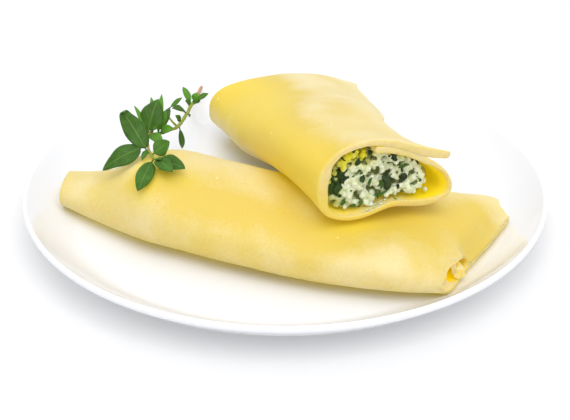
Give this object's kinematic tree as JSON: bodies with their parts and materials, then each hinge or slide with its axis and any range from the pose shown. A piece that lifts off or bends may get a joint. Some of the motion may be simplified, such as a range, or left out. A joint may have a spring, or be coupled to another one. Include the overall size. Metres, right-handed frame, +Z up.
{
  "type": "plate of cannelloni",
  "caption": "White dessert plate with a whole cannelloni, a cut one leaning across it that shows ricotta and spinach, and a sprig of thyme.",
  "frame": {"origin": "middle of the plate's foot, on the table", "axes": "+Z up, +X to the diner's right, +Y away from the diner; the cut end of the upper roll faces -Y"},
  "size_m": [0.2, 0.2, 0.0608],
  "materials": {
    "plate": "glossy white glaze",
    "pasta": "cooked egg pasta, soft and slightly moist",
    "filling": "crumbly white ricotta with dark green spinach",
    "thyme": "fresh green leaves on a thin stem"
  },
  "bodies": {
    "root": {"plate": "plate", "whole_roll": "pasta", "cut_roll_sheet": "pasta", "filling": "filling", "thyme_sprig": "thyme"}
  },
  "joints": []
}
